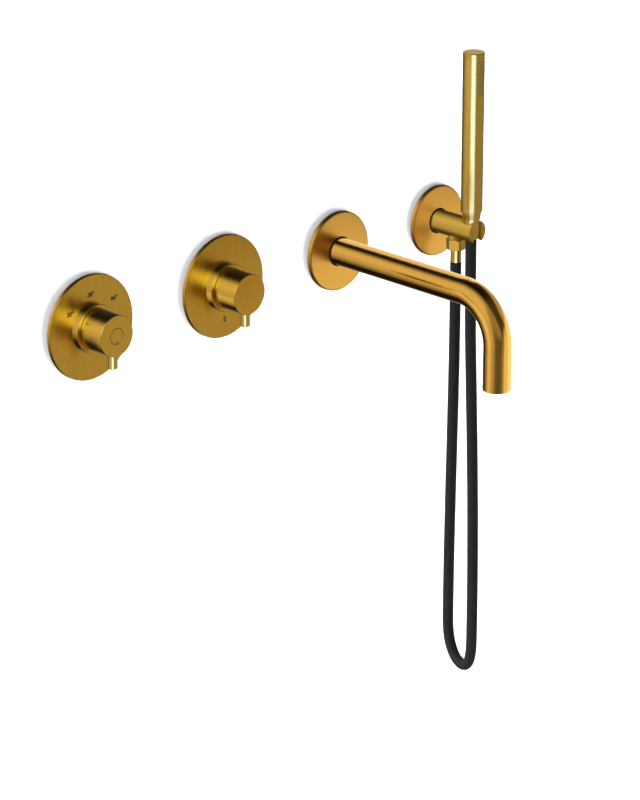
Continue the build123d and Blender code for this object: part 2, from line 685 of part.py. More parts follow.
def build():
    spring_back = KNOB_FRONT + 12.5
    nodes = {
        "thermostat_valve_body": thermostat_valve_body(THERMOSTAT_X),
        "thermostat_cartridge": thermostat_cartridge(THERMOSTAT_X),
        "thermostat_return_spring": coil_spring(9.0, 0.8, THERMOSTAT_X, 24.9, 45.1, 5),
        "temperature_stop_ring": stop_ring(THERMOSTAT_X),
        "check_valves": check_valves(THERMOSTAT_X),
        "diverter_valve_body": diverter_valve_body(DIVERTER_X),
        "diverter_cartridge": diverter_cartridge(DIVERTER_X),
        "diverter_fixed_disc": fixed_disc(DIVERTER_X),
        "link_pipe": feed_pipe(THERMOSTAT_X, DIVERTER_X, 0),
        "spout_feed_pipe": feed_pipe(DIVERTER_X, SPOUT_X, 0),
        "shower_feed_pipe": feed_pipe(DIVERTER_X, SHOWER_X, SHOWER_PIPE_Z),
        "spout_wall_elbow": wall_elbow(SPOUT_X, 0),
        "shower_wall_elbow": wall_elbow(SHOWER_X, SHOWER_PIPE_Z),
        "union_nuts": Part() + [
            union_nut(THERMOSTAT_X, 0, 1), union_nut(DIVERTER_X, 0, -1), union_nut(DIVERTER_X, 0, 1),
            union_nut(SPOUT_X, 0, -1), union_nut(DIVERTER_X, SHOWER_PIPE_Z, 1),
            union_nut(SHOWER_X, SHOWER_PIPE_Z, -1),
        ],
        "mounting_rail": mounting_rail(),
        "rail_screws": rail_screws(),
        "control_plate_gaskets": Part() + [control_gasket(THERMOSTAT_X), control_gasket(DIVERTER_X)],
        "spout_plate": small_plate(SPOUT_X, SPOUT_PLATE_R, SPOUT_PLATE_T, TUBE_R, 32.0),
        "spout_plate_gasket": small_gasket(SPOUT_X, 20.0, 32.0),
        "spout_tube": spout_tube(),
        "spout_socket": spout_socket(),
        "spout_nipple": nipple(SPOUT_X, SOCKET_FRONT + 1.0),
        "aerator_housing": aerator_housing(),
        "aerator_screen": aerator_screen(),
        "shower_plate": small_plate(SHOWER_X, SHOWER_PLATE_R, SHOWER_PLATE_T, ARM_R, 29.0),
        "shower_plate_gasket": small_gasket(SHOWER_X, 18.0, 29.0),
        "holder_arm": holder_arm(),
        "holder_nipple": nipple(SHOWER_X, -17.5),
        "trim_grub_screws": trim_grub_screws(),
        "hose_nut": hose_nut(),
        "hose_ferrule": hose_ferrule(),
        "wall_hose_washer": wall_hose_washer(),
        "shower_hose": shower_hose(),
        "safety_button": safety_button(THERMOSTAT_X),
        "button_spring": coil_spring(
            4.4, 0.5, THERMOSTAT_X, KNOB_FRONT + BUTTON_HEAD + 0.6, spring_back - 0.6, 4),
        "adjusting_nut": adjusting_nut(THERMOSTAT_X),
        "thermo_element": thermo_element(THERMOSTAT_X),
        "diverter_moving_disc": moving_disc(DIVERTER_X),
        "hose_cone": hose_cone(),
        "hand_shower_washer": hand_shower_washer(),
        "hand_shower_body": hand_shower_body(),
        "hand_shower_cap": hand_shower_cap(),
        "hand_shower_inlet": hand_shower_inlet(),
        "nozzle_insert": nozzle_insert(),
        "water_tube": water_tube(),
    }
    for name, x in (("thermostat", THERMOSTAT_X), ("diverter", DIVERTER_X)):
        handle = knob(x)
        nodes[name + "_plate"] = control_plate(x)
        nodes[name + "_skirt"] = skirt(x)
        nodes[name + "_handle"] = handle - button_seat(x) if name == "thermostat" else handle
        nodes[name + "_lever"] = lever(x)
        nodes[name + "_handle_screw"] = handle_screw(x)
        nodes[name + "_spindle"] = spindle(x)
        nodes[name + "_spindle_adapter"] = spindle_adapter(x)
    return nodes


os.makedirs("parts", exist_ok=True)
for node, shape in build().items():
    export_step(shape, f"parts/{node}.step")
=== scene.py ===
import json
import math

import bmesh
import bpy
import numpy as np
from mathutils import Matrix, Vector


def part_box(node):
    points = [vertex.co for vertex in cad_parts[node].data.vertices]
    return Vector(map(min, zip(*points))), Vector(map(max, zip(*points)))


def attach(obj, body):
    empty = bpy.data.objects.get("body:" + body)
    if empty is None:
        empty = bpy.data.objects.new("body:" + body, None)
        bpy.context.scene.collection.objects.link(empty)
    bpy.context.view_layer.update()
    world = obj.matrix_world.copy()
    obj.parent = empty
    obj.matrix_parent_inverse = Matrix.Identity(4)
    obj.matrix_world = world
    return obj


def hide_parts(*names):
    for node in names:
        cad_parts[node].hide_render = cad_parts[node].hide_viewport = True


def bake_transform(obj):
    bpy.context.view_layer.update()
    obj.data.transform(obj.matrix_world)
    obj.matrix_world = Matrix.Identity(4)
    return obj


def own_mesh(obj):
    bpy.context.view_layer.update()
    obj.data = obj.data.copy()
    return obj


# Wall mounted bath faucet: golden trim in front of a white wall, valve bodies and pipes behind it.
# Metres, X along the wall, Y into the wall, Z up, as in the CAD frame.

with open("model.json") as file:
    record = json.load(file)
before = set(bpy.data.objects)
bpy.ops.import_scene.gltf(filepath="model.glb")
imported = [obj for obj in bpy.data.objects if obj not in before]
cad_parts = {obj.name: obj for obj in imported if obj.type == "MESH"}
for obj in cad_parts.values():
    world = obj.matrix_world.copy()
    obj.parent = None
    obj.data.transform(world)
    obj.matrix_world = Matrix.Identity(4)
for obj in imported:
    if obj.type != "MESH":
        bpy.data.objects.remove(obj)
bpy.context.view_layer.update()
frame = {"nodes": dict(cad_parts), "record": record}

MM = 0.001
TURNS = 160          # divisions round a turned piece
ARC_STEPS = 5        # divisions of a rounded corner
EDGE_HOLD = 0.25     # mm kept flat beside a rounded corner, at most
HOLD_SHARE = 0.3     # and at most this share of the edge left between two corners
LEAST_STEP = 1e-6    # points of a line closer than this are one, in the line's own unit
MERGE_DISTANCE = 1e-7                # metres between a mesh's points that are made one
LEAST_EDGE = 1e-8                    # metres; shorter edges go
OFF_AXIS = (0.3, 0.5, 0.81)          # a direction that no rod follows
SHARP_ANGLE = math.radians(38)


# ------------------------------------------------------------------ places from the frame

def middle(node):
    """Centre of a CAD node's box, in metres."""
    low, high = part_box(node)
    return (low + high) / 2


THERMOSTAT_X = middle("thermostat_plate").x / MM
DIVERTER_X = middle("diverter_plate").x / MM
SPOUT_X = middle("spout_plate").x / MM
SHOWER_X = middle("shower_plate").x / MM
LEVER_Y = middle("thermostat_lever").y / MM
OUTLET_Y = middle("hose_nut").y / MM
CRADLE_Y = middle("hand_shower_body").y / MM


# ------------------------------------------------------------------ surfaces

def soft_outline(corners, radii, closed):
    """Outline in millimetres with rounded corners. Where two edges meet at half angle h, an arc of radius
    r starts r / tan h from the corner, its centre is r / sin h along the bisector, and its points turn
    evenly from one end to the other. One more point outside each end of the arc keeps the edges flat. An
    open outline keeps its first and last corner as they are."""
    p = np.array(corners, float)
    r = np.broadcast_to(np.array(radii, float), (len(p) if closed else len(p) - 2,))
    if closed:
        before, at, after = np.roll(p, 1, 0), p, np.roll(p, -1, 0)
    else:
        before, at, after = p[:-2], p[1:-1], p[2:]
    back, on = before - at, after - at
    back_len, on_len = np.linalg.norm(back, axis=1), np.linalg.norm(on, axis=1)
    u, v = back / back_len[:, None], on / on_len[:, None]
    half = np.arccos(np.clip((u * v).sum(1), -1, 1)) / 2
    reach = r / np.tan(half)
    reach_before = np.roll(reach, 1) if closed else np.r_[0, reach[:-1]]
    reach_after = np.roll(reach, -1) if closed else np.r_[reach[1:], 0]
    hold_back = np.clip(HOLD_SHARE * (back_len - reach - reach_before), 0, EDGE_HOLD)
    hold_on = np.clip(HOLD_SHARE * (on_len - reach - reach_after), 0, EDGE_HOLD)
    start, end = at + u * reach[:, None], at + v * reach[:, None]
    bisector = (u + v) / np.linalg.norm(u + v, axis=1)[:, None]
    centre = at + bisector * (r / np.sin(half))[:, None]
    turn = (math.pi - 2 * half)[:, None, None]
    s = np.linspace(0, 1, ARC_STEPS + 1)[None, :, None]
    from_start, from_end = (start - centre)[:, None], (end - centre)[:, None]
    swing = np.sin((1 - s) * turn) * from_start + np.sin(s * turn) * from_end
    arc = centre[:, None] + swing / np.sin(turn)
    rows = np.concatenate([
        (start + u * hold_back[:, None])[:, None], arc, (end + v * hold_on[:, None])[:, None]], axis=1)
    line = rows.reshape(-1, 2)
    return line if closed else np.vstack([p[:1], line, p[-1:]])


def filled_in(outline, step, closed):
    """The same outline with points added, so that none of its edges is longer than step."""
    p = np.vstack([outline, outline[:1]]) if closed else outline
    along = np.r_[0, np.cumsum(np.linalg.norm(np.diff(p, axis=0), axis=1))]
    places = np.unique(np.r_[along, np.arange(0, along[-1], step)])
    places = places[np.r_[True, np.diff(places) > LEAST_STEP]]
    line = np.stack([np.interp(places, along, p[:, k]) for k in range(p.shape[1])], axis=1)
    return line[:-1] if closed else line


def skin(name, grid, closed_rows=False):
    """Mesh through a grid of points in millimetres, shaped (copies, rows, columns, 3) or without copies.
    Columns close on themselves; rows close too if told to. Rows that shrink to a point become a pole. The
    UV map runs once round the columns, and along the rows by their length in millimetres."""
    grid = np.array(grid, float)
    grid = grid[None] if grid.ndim == 3 else grid
    copies, rows, cols, _ = grid.shape
    i = np.arange(rows if closed_rows else rows - 1)[:, None]
    j = np.arange(cols)[None, :]
    ni, nj = (i + 1) % rows, (j + 1) % cols
    quads = np.stack([i * cols + j, i * cols + nj, ni * cols + nj, ni * cols + j], axis=-1)
    quads = quads.reshape(-1, 4)
    faces = (quads[None] + (np.arange(copies) * rows * cols)[:, None, None]).reshape(-1, 4)
    steps = np.linalg.norm(np.diff(grid[0], axis=0, append=grid[0][:1]), axis=2).max(1)
    along = np.r_[0, np.cumsum(steps)]
    u0, v0 = np.broadcast_to(j / cols, (len(i), cols)), np.broadcast_to(along[i], (len(i), cols))
    u1, v1 = u0 + 1 / cols, np.broadcast_to(along[i + 1], (len(i), cols))
    uv = np.stack([np.stack([u0, v0], -1), np.stack([u1, v0], -1), np.stack([u1, v1], -1),
                   np.stack([u0, v1], -1)], axis=2).reshape(-1, 4, 2)
    mesh = bpy.data.meshes.new(name)
    mesh.from_pydata((grid.reshape(-1, 3) * MM).tolist(), [], faces.tolist())
    layer = mesh.uv_layers.new(name="Round")
    layer.data.foreach_set("uv", np.tile(uv, (copies, 1, 1)).astype(np.float32).ravel())
    piece = bpy.data.objects.new(name, mesh)
    bpy.context.scene.collection.objects.link(piece)
    return closed_up(piece)


def closed_up(piece):
    """Joins the poles' points, turns all faces outwards, and shades smooth between sharp edges."""
    work = bmesh.new()
    work.from_mesh(piece.data)
    bmesh.ops.remove_doubles(work, verts=work.verts, dist=MERGE_DISTANCE)
    bmesh.ops.dissolve_degenerate(work, edges=work.edges, dist=LEAST_EDGE)
    bmesh.ops.recalc_face_normals(work, faces=work.faces)
    work.to_mesh(piece.data)
    work.free()
    piece.data.polygons.foreach_set("use_smooth", np.ones(len(piece.data.polygons), bool))
    piece.data.set_sharp_from_angle(angle=SHARP_ANGLE)
    piece.data.update()
    return piece


def circle(turns):
    """Cosine and sine of evenly spaced angles once round."""
    angle = np.linspace(0, 2 * math.pi, turns, endpoint=False)
    return np.cos(angle), np.sin(angle)


def turned(name, outline, x, other, axis, closed=False, turns=TURNS):
    """Turned piece: every outline point (radius, height) goes round the axis. Axis "Y" is square to the
    wall, through (x, other) in X and Z; axis "Z" is upright, through (x, other) in X and Y."""
    c, s = circle(turns)
    radius, height = outline[:, :1], np.broadcast_to(outline[:, 1:], (len(outline), turns))
    across, up = x + radius * c, other + radius * s
    grid = np.stack([across, height, up] if axis == "Y" else [across, up, height], axis=-1)
    return skin(name, grid, closed)


def rod(start, end, radius, turns=48):
    """Plain bar between two points, used to cut holes: a circle carried along the line between them."""
    a, b = np.array(start, float), np.array(end, float)
    along = (b - a) / np.linalg.norm(b - a)
    side = np.cross(along, OFF_AXIS)
    side /= np.linalg.norm(side)
    other = np.cross(along, side)
    c, s = circle(turns)
    ring = radius * (c[:, None] * side + s[:, None] * other)
    return skin("tool", np.stack([a + 0 * ring, a + ring, b + ring, b + 0 * ring]))


def block(low, high):
    """Plain block between two corners, used to cut a slot."""
    x = np.array([low[0], high[0], high[0], low[0]])
    y = np.array([low[1], low[1], high[1], high[1]])

    def ring(z):
        return np.stack([x, y, np.full(4, float(z))], axis=-1)

    def pole(z):
        return np.broadcast_to([(low[0] + high[0]) / 2, (low[1] + high[1]) / 2, float(z)], (4, 3))

    return skin("tool", np.stack([pole(low[2]), ring(low[2]), ring(high[2]), pole(high[2])]))


def carve(piece, tool, operation="DIFFERENCE"):
    """Cuts the tool's shape out of the piece, or joins it on, and removes the tool."""
    change = piece.modifiers.new("carve", "BOOLEAN")
    change.operation, change.solver, change.object = operation, "EXACT", tool
    bpy.context.view_layer.update()
    solid = piece.evaluated_get(bpy.context.evaluated_depsgraph_get())
    mesh = bpy.data.meshes.new_from_object(solid)
    piece.modifiers.clear()
    piece.data = mesh
    bpy.data.objects.remove(tool)
    piece.data.set_sharp_from_angle(angle=SHARP_ANGLE)


# ------------------------------------------------------------------ materials

class Nodes:
    """Short way to add linked nodes to a material or the world."""

    def __init__(self, tree):
        self.tree = tree
        tree.nodes.clear()

    def add(self, kind, values=None, links=None, **settings):
        node = self.tree.nodes.new(kind)
        for key, value in settings.items():
            setattr(node, key, value)
        for key, value in (values or {}).items():
            node.inputs[key].default_value = value
        for key, source in (links or {}).items():
            self.tree.links.new(source, node.inputs[key])
        return node


METAL, PLAIN = 1.0, 0.0
BROAD_REPEATS = 0.12                 # repeats of the broad noise, as a share of the fine one's
BROAD_WEIGHT = 0.2                   # weight of the broad noise in the mix of the two
NOISE_LOW, NOISE_HIGH = 0.3, 0.7     # noise values that give the extremes of tone and roughness
BUMP_STRENGTH = 0.5


def finish_of(name, colour, metallic, roughness, lines, line_scale, depth, shade, rough_swing,
              specular=0.5):
    """Procedural finish. lines is "round" for marks that follow the turning, by the piece's own UV map, or
    "object" for marks laid out in space; line_scale says how often they change along each direction. A
    fine and a broad noise together vary the colour by shade and the roughness by rough_swing. The fine one
    alone gives the height, by depth metres."""
    material = bpy.data.materials.new(name)
    material.use_nodes = True
    n = Nodes(material.node_tree)
    where = (n.add("ShaderNodeUVMap", uv_map="Round").outputs["UV"] if lines == "round"
             else n.add("ShaderNodeTexCoord").outputs["Object"])
    fine_at = n.add("ShaderNodeMapping", {"Scale": line_scale}, {"Vector": where})
    fine = n.add("ShaderNodeTexNoise", {"Scale": 1.0, "Detail": 3.0, "Roughness": 0.6},
                 {"Vector": fine_at.outputs["Vector"]})
    broad_scale = tuple(BROAD_REPEATS * s for s in line_scale)
    broad_at = n.add("ShaderNodeMapping", {"Scale": broad_scale}, {"Vector": where})
    broad = n.add("ShaderNodeTexNoise", {"Scale": 1.0, "Detail": 2.0, "Roughness": 0.5},
                  {"Vector": broad_at.outputs["Vector"]})
    both = n.add("ShaderNodeMix", {"Factor": BROAD_WEIGHT},
                 {"A": fine.outputs["Fac"], "B": broad.outputs["Fac"]})
    light = tuple(min(1.0, c * (1 + shade)) for c in colour)
    dark = tuple(c * (1 - shade) for c in colour)
    tone = n.add("ShaderNodeValToRGB", links={"Fac": both.outputs["Result"]})
    low, high = tone.color_ramp.elements
    low.position, high.position = NOISE_LOW, NOISE_HIGH
    low.color, high.color = (*dark, 1), (*light, 1)
    rough = n.add("ShaderNodeMapRange", {
        "From Min": NOISE_LOW, "From Max": NOISE_HIGH,
        "To Min": roughness - rough_swing, "To Max": roughness + rough_swing,
    }, {"Value": both.outputs["Result"]})
    height = n.add("ShaderNodeBump", {"Strength": BUMP_STRENGTH, "Distance": depth},
                   {"Height": fine.outputs["Fac"]})
    surface = n.add("ShaderNodeBsdfPrincipled", {"Metallic": metallic, "Specular IOR Level": specular}, {
        "Base Color": tone.outputs["Color"], "Roughness": rough.outputs["Result"],
        "Normal": height.outputs["Normal"]})
    n.add("ShaderNodeOutputMaterial", links={"Surface": surface.outputs["BSDF"]})
    return material


CONTROL_GOLD = (0.80, 0.450, 0.056)
SATIN_GOLD = (0.85, 0.455, 0.080)
SOFT_GOLD = (0.77, 0.48, 0.080)
BRUSHED = (620.0, 620.0, 24.0)        # upright marks on flat faces, in repeats per metre; for "round"
                                      # marks the scale is instead per turn and per millimetre
UPRIGHT = (2600.0, 2600.0, 60.0)      # finer upright marks
OUTWARD = (2600.0, 60.0, 2600.0)      # fine marks square to the wall


def even(repeats):
    """The same number of repeats per metre along each direction."""
    return (repeats, repeats, repeats)


# By record slot, or by a name of its own where one slot covers several looks. Each row is what finish_of
# takes: material, colour, metallic, roughness, lines, line_scale, depth, shade, rough_swing.
LOOKS = {
    "plate_gold": (
        "brushed_gold_flat", CONTROL_GOLD, METAL, 0.30, "object", BRUSHED, 7e-6, 0.13, 0.05),
    "turned_gold": (
        "brushed_gold_turned", CONTROL_GOLD, METAL, 0.25, "round", (6.0, 3.2, 1.0), 3e-6, 0.05, 0.04),
    "brushed_gold": (
        "brushed_gold_face", CONTROL_GOLD, METAL, 0.28, "object", BRUSHED, 6e-6, 0.12, 0.05),
    "bright_gold": (
        "bright_gold_pin", (0.84, 0.60, 0.20), METAL, 0.16, "round", (3.0, 2.0, 1.0), 2e-6, 0.04, 0.03),
    "satin_gold": (
        "satin_gold_trim", SATIN_GOLD, METAL, 0.17, "round", (9.0, 0.6, 1.0), 1.5e-6, 0.04, 0.02),
    "satin_face": (
        "satin_gold_plate", SATIN_GOLD, METAL, 0.35, "object", even(1500.0), 4e-7, 0.03, 0.015),
    "arm_gold": (
        "soft_gold_arm", SOFT_GOLD, METAL, 0.44, "object", OUTWARD, 4e-6, 0.05, 0.04),
    "soft_brushed_gold": (
        "soft_gold_shower", SOFT_GOLD, METAL, 0.28, "object", UPRIGHT, 3e-6, 0.05, 0.04),
    "raw_brass": (
        "raw_brass_cast", (0.66, 0.47, 0.20), METAL, 0.42, "object", even(700.0), 6e-5, 0.12, 0.08),
    "copper": (
        "copper_drawn", (0.80, 0.40, 0.26), METAL, 0.32, "object", (40.0, 900.0, 900.0), 1e-5, 0.12, 0.08),
    "zinc_steel": (
        "zinc_plated_steel", (0.62, 0.64, 0.66), METAL, 0.38, "object", (220.0, 220.0, 900.0), 1e-5, 0.10,
        0.08),
    "stainless": (
        "stainless_wire", (0.62, 0.61, 0.60), METAL, 0.25, "object", even(900.0), 5e-6, 0.06, 0.05),
    "black_plastic": (
        "black_moulded_plastic", (0.030, 0.030, 0.032), PLAIN, 0.45, "object", even(1500.0), 1e-5, 0.15,
        0.06),
    "white_plastic": (
        "white_moulded_plastic", (0.80, 0.80, 0.77), PLAIN, 0.42, "object", even(1200.0), 1e-5, 0.03, 0.06),
    "ceramic": (
        "lapped_ceramic", (0.84, 0.84, 0.81), PLAIN, 0.18, "object", even(2200.0), 3e-6, 0.03, 0.04),
    "hose_black": (
        "matte_black_hose", (0.019, 0.019, 0.0195), PLAIN, 0.62, "round", (26.0, 0.9, 1.0), 1.2e-5, 0.12,
        0.05, 0.3),
    "black_rubber": (
        "black_rubber_seal", (0.022, 0.022, 0.022), PLAIN, 0.65, "object", even(1400.0), 2e-5, 0.15, 0.05),
    "nozzle_rubber": (
        "dark_nozzle_rubber", (0.15, 0.105, 0.048), PLAIN, 0.55, "object", even(3000.0), 1e-5, 0.12, 0.05),
    # Dark finish of the printed marks; it also colours the disc of painted shade in the button's dimple.
    "mark_black": (
        "mark_inlay", (0.020, 0.013, 0.006), PLAIN, 0.5, "object", even(4000.0), 4e-6, 0.15, 0.05),
}
finishes = {key: finish_of(*row) for key, row in LOOKS.items()}
slot_of = {row["node"]: row["material_slot"] for row in frame["record"]["subparts"]}


def fit(piece, node, body, finish=None):
    """Puts a finished piece in place of its CAD node: hides the node, puts the piece in its body, and gives
    it the finish of the node's record slot, or the finish named.
    """
    record_slot = slot_of[node]
    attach(piece, body)
    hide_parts(node)
    piece.data.materials.clear()
    piece.data.materials.append(finishes[finish or record_slot])
    return piece


# ------------------------------------------------------------------ camera

CAMERA_PLACE = (-2.6139, -2.626, 1.213)
CAMERA_DOWN, CAMERA_TURN = 20.51, 44.59      # degrees below level, and away from square to the wall

camera_data = bpy.data.cameras.new("camera")
camera_data.lens = 162.0
camera_data.sensor_width = 36.0
camera_data.clip_end = 50.0
camera = bpy.data.objects.new("camera", camera_data)
bpy.context.scene.collection.objects.link(camera)
camera.location = CAMERA_PLACE
camera.rotation_euler = (math.radians(90 - CAMERA_DOWN), 0.0, math.radians(-CAMERA_TURN))
bpy.context.scene.camera = camera


# ------------------------------------------------------------------ shower hose

HOSE_DIAMETER = 0.0125
HOSE_ROUTE = [
    (0.155, -0.0316, -0.0415), (0.155, -0.0316, -0.092), (0.1562, -0.0298, -0.185),
    (0.1594, -0.0248, -0.290), (0.1646, -0.0184, -0.385), (0.168, -0.0148, -0.455),
    (0.1684, -0.0144, -0.502), (0.162, -0.031, -0.524), (0.151, -0.058, -0.5255),
    (0.1444, -0.074, -0.506), (0.1436, -0.0752, -0.461), (0.1458, -0.0728, -0.383),
    (0.1493, -0.0674, -0.287), (0.1529, -0.060, -0.185), (0.155, -0.0542, -0.092),
    (0.155, -0.0542, -0.0087),
]


def smooth_route(points):
    """Points along a quadratic NURBS curve that has the route as its control points."""
    curve = bpy.data.curves.new("hose_route", "CURVE")
    curve.dimensions = "3D"
    curve.resolution_u = 22
    spline = curve.splines.new("NURBS")
    spline.points.add(len(points) - 1)
    spline.points.foreach_set("co", np.c_[np.array(points), np.ones(len(points))].ravel())
    spline.order_u = 3
    spline.use_endpoint_u = True
    holder = bpy.data.objects.new("hose_route", curve)
    bpy.context.scene.collection.objects.link(holder)
    bpy.context.view_layer.update()
    mesh = bpy.data.meshes.new_from_object(holder)
    line = np.zeros(len(mesh.vertices) * 3, np.float32)
    mesh.vertices.foreach_get("co", line)
    bpy.data.objects.remove(holder)
    bpy.data.meshes.remove(mesh)
    line = line.reshape(-1, 3).astype(float)
    return line[np.r_[True, np.linalg.norm(np.diff(line, axis=0), axis=1) > LEAST_STEP]]


def hose_skin(name, line, radius, turns=40):
    """Tube along a line: at each point, a circle of the given radius in the plane square to the tangent.
    Its first direction is the wall's own X, made square to the tangent. Both ends are closed by a flat
    disc."""
    tangent = np.gradient(line, axis=0)
    tangent /= np.linalg.norm(tangent, axis=1)[:, None]
    side = np.array([1.0, 0, 0]) - tangent[:, :1] * tangent
    side /= np.linalg.norm(side, axis=1)[:, None]
    other = np.cross(tangent, side)
    c, s = circle(turns)
    rings = line[:, None] + radius * (c[None, :, None] * side[:, None] + s[None, :, None] * other[:, None])
    first, last = (np.broadcast_to(point, (1, turns, 3)) for point in (line[0], line[-1]))
    return skin(name, np.concatenate([first, rings, last]) / MM)


hose_line = smooth_route(HOSE_ROUTE)
hose = hose_skin("shower_hose_cover", hose_line, HOSE_DIAMETER / 2)
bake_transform(hose)
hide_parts("shower_hose")
hose.data.materials.append(finishes["hose_black"])


# ------------------------------------------------------------------ controls

PLATE_RADIUS, PLATE_FRONT = 56.0, -4.0
COLLAR_RADIUS, COLLAR_FRONT = 26.0, -12.0
KNOB_RADIUS, KNOB_BACK, KNOB_FRONT = 22.0, -12.4, -42.4
BUTTON_RADIUS, BUTTON_BORE, BUTTON_SHOULDER = 8.5, 8.85, -38.9
DIMPLE_RADIUS, DIMPLE_SHADE_RADIUS, DIMPLE_Z = 1.0, 0.96, -6.7

# An outline is a list of (radius, height) in millimetres; the list after it rounds its corners.


def control(name, x, body, has_button):
    """One control: cover plate, skirt, handle and the pin under the handle."""
    fit(turned(name + "_cover", soft_outline(
        [(21.2, PLATE_FRONT), (PLATE_RADIUS, PLATE_FRONT), (PLATE_RADIUS, 0), (45.5, 0), (45.5, -1.5),
         (34, -1.5), (34, 0), (21.2, 0)],
        [0.1, 0.8, 0.15, 0.1, 0.1, 0.1, 0.1, 0.1], True), x, 0, "Y", True, 224),
        name + "_plate", "root", "plate_gold")
    fit(turned(name + "_collar", soft_outline(
        [(19, COLLAR_FRONT), (COLLAR_RADIUS, COLLAR_FRONT), (COLLAR_RADIUS, PLATE_FRONT), (21, PLATE_FRONT),
         (21, 10), (19, 10)], [0.1, 0.6, 0.1, 0.1, 0.1, 0.1], True),
        x, 0, "Y", True), name + "_skirt", "root", "turned_gold")
    wall_side = [(KNOB_RADIUS, KNOB_FRONT), (KNOB_RADIUS, KNOB_BACK), (19.5, KNOB_BACK), (19.5, -26.4),
                 (10, -26.4), (10, -14.4), (7, -14.4), (7, -26.4)]
    wall_radii = [0.6, 0.2, 0.2, 0.2, 0.2, 0.1, 0.1, 0.1]
    if has_button:
        seat = [(2.55, -26.4), (2.55, -29.9), (5.6, -29.9), (5.6, -35.4), (BUTTON_BORE, -35.4),
                (BUTTON_BORE, KNOB_FRONT)]
        outline = soft_outline(seat + wall_side, [0.05, 0.05, 0.1, 0.1, 0.1, 0.2] + wall_radii, True)
    else:
        outline = soft_outline([(0, KNOB_FRONT)] + wall_side + [(0, -26.4)], wall_radii, False)
    handle = turned(name + "_knob", outline, x, 0, "Y", has_button)
    carve(handle, rod((x, -17, -18), (x, -17, -24), 2.4))
    fit(handle, name + "_handle", body, "turned_gold")
    fit(turned(name + "_pin", soft_outline(
        [(0, -13), (4.9, -13), (4.9, -36), (0, -36)], [0.2, 0.6], False), x, LEVER_Y, "Z", False, 72),
        name + "_lever", body)


control("thermostat", THERMOSTAT_X, "thermostat_knob", True)
control("diverter", DIVERTER_X, "diverter_knob", False)

button = turned("button_face", soft_outline(
    [(0, KNOB_FRONT), (BUTTON_RADIUS, KNOB_FRONT), (BUTTON_RADIUS, BUTTON_SHOULDER),
     (2.5, BUTTON_SHOULDER), (2.5, -23.5), (0, -23.5)],
    [0.3, 0.1, 0.1, 0.1], False), THERMOSTAT_X, 0, "Y", False, 96)
carve(button, rod((THERMOSTAT_X, KNOB_FRONT + 0.8, DIMPLE_Z), (THERMOSTAT_X, KNOB_FRONT - 1, DIMPLE_Z),
                  DIMPLE_RADIUS, 24))
fit(button, "safety_button", "button")
# Dark disc sunk in the button's dimple: painted shade, darkening the hollow where shade would fall.
shade_front, shade_back = KNOB_FRONT + 0.1, KNOB_FRONT + 0.75
dimple_shade = turned("button_dimple_shade", soft_outline(
    [(0, shade_front), (DIMPLE_SHADE_RADIUS, shade_front), (DIMPLE_SHADE_RADIUS, shade_back), (0, shade_back)],
    [0.08, 0.05], False), THERMOSTAT_X, DIMPLE_Z, "Y", False, 24)
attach(dimple_shade, "button")
dimple_shade.data.materials.append(finishes["mark_black"])


TEXT_SIZE = 1.42      # size of the text, for a number one unit high
MARK_DEPTH = 0.04     # mm
MARK_SWELL = 0.26     # mm added all round the strokes, to make them bold


def mark(name, words, x, z, height):
    """Small dark number laid flat against a plate's front, its strokes made bolder than the font's own."""
    text = bpy.data.curves.new(name, "FONT")
    text.body, text.align_x, text.align_y = words, "CENTER", "CENTER"
    text.size, text.extrude, text.offset = height * TEXT_SIZE * MM, MARK_DEPTH * MM, MARK_SWELL * MM
    holder = bpy.data.objects.new(name + "_text", text)
    bpy.context.scene.collection.objects.link(holder)
    bpy.context.view_layer.update()
    mesh = bpy.data.meshes.new_from_object(holder)
    bpy.data.objects.remove(holder)
    upright = Matrix.Rotation(math.pi / 2, 4, "X")
    mesh.transform(Matrix.Translation((x * MM, PLATE_FRONT * MM, z * MM)) @ upright)
    mesh.materials.clear()
    mesh.materials.append(finishes["mark_black"])
    piece = bpy.data.objects.new(name, mesh)
    bpy.context.scene.collection.objects.link(piece)
    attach(piece, "root")


# Number, its distance from the knob's axis as a share of the plate's radius, and its angle in degrees.
for number, share, degrees in (("30", 0.62, 144.0), ("38", 0.63, 90.0), ("44", 0.70, 38.0)):
    reach, turn = PLATE_RADIUS * share, math.radians(degrees)
    mark("mark_" + number, number + "\u00b0", THERMOSTAT_X + reach * math.cos(turn),
         reach * math.sin(turn), 4.7)
mark("mark_0", "0", DIVERTER_X, -PLATE_RADIUS * 0.65, 5.2)


# ------------------------------------------------------------------ spout

SPOUT_START, SPOUT_REACH, SPOUT_DROP, SPOUT_BEND = 1.0, 238.0, 98.0, 50.0
SPOUT_RADIUS, SPOUT_BORE = 15.0, 13.5
SPOUT_PLATE_FRONT = -5.0
SPOUT_STRAIGHT = SPOUT_REACH - SPOUT_BEND - SPOUT_START
SPOUT_LINE = SPOUT_STRAIGHT + SPOUT_BEND * math.pi / 2 + SPOUT_DROP - SPOUT_BEND


def spout_skin(name, outline, turns=120):
    """Bent tube: each outline point (radius, length along the tube) goes round the tube's line. The line
    runs straight out from the wall, turns down through a quarter circle, and drops straight to the
    mouth."""
    radius, s = outline[:, :1], outline[:, 1]
    bend = np.clip((s - SPOUT_STRAIGHT) / SPOUT_BEND, 0, math.pi / 2)
    drop = np.clip(s - SPOUT_STRAIGHT - SPOUT_BEND * math.pi / 2, 0, None)
    y = -SPOUT_START - np.clip(s, None, SPOUT_STRAIGHT) - SPOUT_BEND * np.sin(bend)
    z = -SPOUT_BEND * (1 - np.cos(bend)) - drop
    c, sn = circle(turns)
    grid = np.stack([
        SPOUT_X + radius * c,
        y[:, None] - np.sin(bend)[:, None] * radius * sn,
        z[:, None] + np.cos(bend)[:, None] * radius * sn], axis=-1)
    return skin(name, grid, True)


